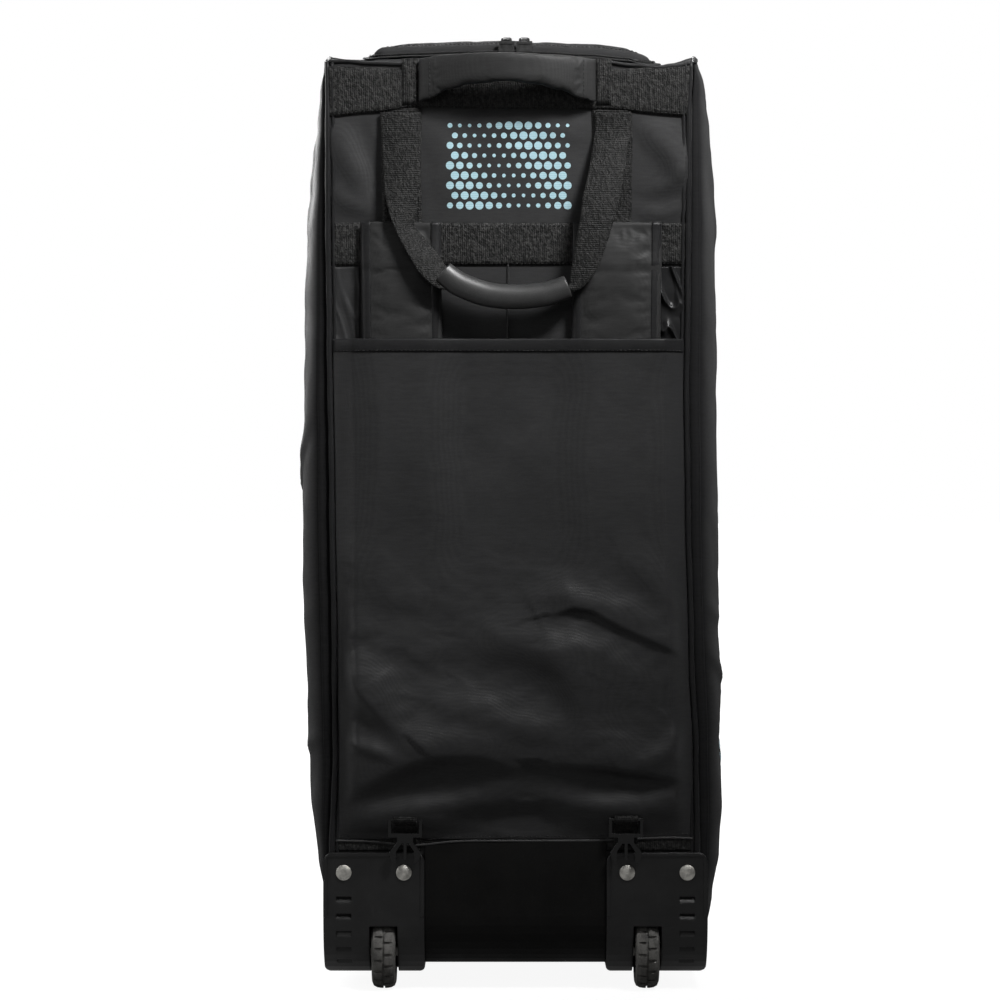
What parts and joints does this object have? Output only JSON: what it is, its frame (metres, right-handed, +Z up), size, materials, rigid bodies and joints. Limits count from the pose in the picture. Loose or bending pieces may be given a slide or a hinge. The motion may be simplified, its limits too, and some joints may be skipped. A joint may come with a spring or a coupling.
{
  "type": "wheeled hockey equipment bag",
  "caption": "Tall wheeled hockey equipment bag standing on end, with a zipped cover, stow pocket, shoulder straps, grab handle, carry loop and moulded wheel base.",
  "frame": {"origin": "on the floor, midway between the outermost points in X and in Y", "axes": "+Z up, +Y from the back panel to the cover, +X to the right for someone who faces the back panel"},
  "size_m": [0.4292, 0.3793, 0.967],
  "materials": {
    "panel_cloth": "woven nylon",
    "gusset_cloth": "woven nylon",
    "webbing": "coarse woven webbing",
    "piping": "bound cord",
    "lining": "shiny lining",
    "padding": "padded woven nylon",
    "board": "sheet",
    "moulded": "textured moulding",
    "buckle": "moulded acetal",
    "grip": "smooth",
    "tyre": "moulded tread",
    "hub": "moulded",
    "steel": "plain",
    "rivet": "nickel",
    "zip": "coil zip",
    "slider": "black enamel"
  },
  "bodies": {
    "bag": {"back_panel": "panel_cloth", "stiffener_board": "board", "left_gusset": "gusset_cloth", "right_gusset": "gusset_cloth", "top_end": "panel_cloth", "front_panel": "gusset_cloth", "left_cover_frame": "gusset_cloth", "right_cover_frame": "gusset_cloth", "left_anchor_webbing": "webbing", "right_anchor_webbing": "webbing", "floor_board": "board", "left_piping": "piping", "right_piping": "piping", "top_band": "webbing", "middle_band": "webbing", "base_webbing": "webbing", "stow_pocket": "panel_cloth", "pocket_hem": "piping", "pocket_lining": "lining", "left_shoulder_strap": "padding", "right_shoulder_strap": "padding", "left_strap_webbing": "webbing", "right_strap_webbing": "webbing", "left_receiver": "buckle", "right_receiver": "buckle", "skid_plate": "moulded", "left_wheel_housing": "moulded", "right_wheel_housing": "moulded", "housing_rivets": "rivet", "left_axle": "steel", "right_axle": "steel", "axle_nuts": "steel", "axle_spacers": "steel", "left_foot": "moulded", "right_foot": "moulded", "foot_screws": "steel", "hinge_tape": "piping", "zip_bag_tape": "zip", "handle_tabs": "webbing", "left_buckle_tab": "webbing", "right_buckle_tab": "webbing"},
    "cover": {"cover": "panel_cloth", "zip_cover_tape": "zip"},
    "left_wheel": {"left_tyre": "tyre", "left_hub": "hub", "left_bearings": "steel"},
    "right_wheel": {"right_tyre": "tyre", "right_hub": "hub", "right_bearings": "steel"},
    "left_zip_slider": {"left_slider": "slider"},
    "right_zip_slider": {"right_slider": "slider"},
    "left_zip_pull": {"left_pull": "slider"},
    "right_zip_pull": {"right_pull": "slider"},
    "grab_handle_body": {"grab_handle": "padding"},
    "carry_loop": {"left_carry_strap": "webbing", "right_carry_strap": "webbing", "carry_grip": "grip"},
    "left_buckle_half": {"left_buckle": "buckle"},
    "right_buckle_half": {"right_buckle": "buckle"}
  },
  "joints": [
    {"name": "cover_opens", "type": "hinge", "parent": "bag", "child": "cover", "pos_m": [0, 0.1809, 0.12], "axis": [-1, 0, 0], "range_deg": [0, 90]},
    {"name": "left_wheel_turns", "type": "hinge", "parent": "bag", "child": "left_wheel", "pos_m": [-0.132, -0.1271, 0.038], "axis": [1, 0, 0], "continuous": true},
    {"name": "right_wheel_turns", "type": "hinge", "parent": "bag", "child": "right_wheel", "pos_m": [0.132, -0.1271, 0.038], "axis": [1, 0, 0], "continuous": true},
    {"name": "left_slider_runs", "type": "slide", "parent": "cover", "child": "left_zip_slider", "axis": [-1, 0, 0], "range_m": [0, 0.115]},
    {"name": "right_slider_runs", "type": "slide", "parent": "cover", "child": "right_zip_slider", "axis": [1, 0, 0], "range_m": [0, 0.115]},
    {"name": "left_pull_lifts", "type": "hinge", "parent": "left_zip_slider", "child": "left_zip_pull", "pos_m": [-0.009, -0.1279, 0.95617], "axis": [1, 0, 0], "range_deg": [0, 80]},
    {"name": "right_pull_lifts", "type": "hinge", "parent": "right_zip_slider", "child": "right_zip_pull", "pos_m": [0.009, -0.1279, 0.95617], "axis": [1, 0, 0], "range_deg": [0, 80]},
    {"name": "grab_handle_lifts", "type": "hinge", "parent": "bag", "child": "grab_handle_body", "pos_m": [0, -0.159, 0.934], "axis": [-1, 0, 0], "range_deg": [0, 95]},
    {"name": "carry_loop_lifts", "type": "hinge", "parent": "bag", "child": "carry_loop", "pos_m": [0, -0.1583, 0.879], "axis": [-1, 0, 0], "range_deg": [0, 150]},
    {"name": "left_buckle_swings", "type": "hinge", "parent": "bag", "child": "left_buckle_half", "pos_m": [-0.11, -0.1676, 0.174], "axis": [-1, 0, 0], "range_deg": [0, 150]},
    {"name": "right_buckle_swings", "type": "hinge", "parent": "bag", "child": "right_buckle_half", "pos_m": [0.11, -0.1676, 0.174], "axis": [-1, 0, 0], "range_deg": [0, 150]}
  ]
}
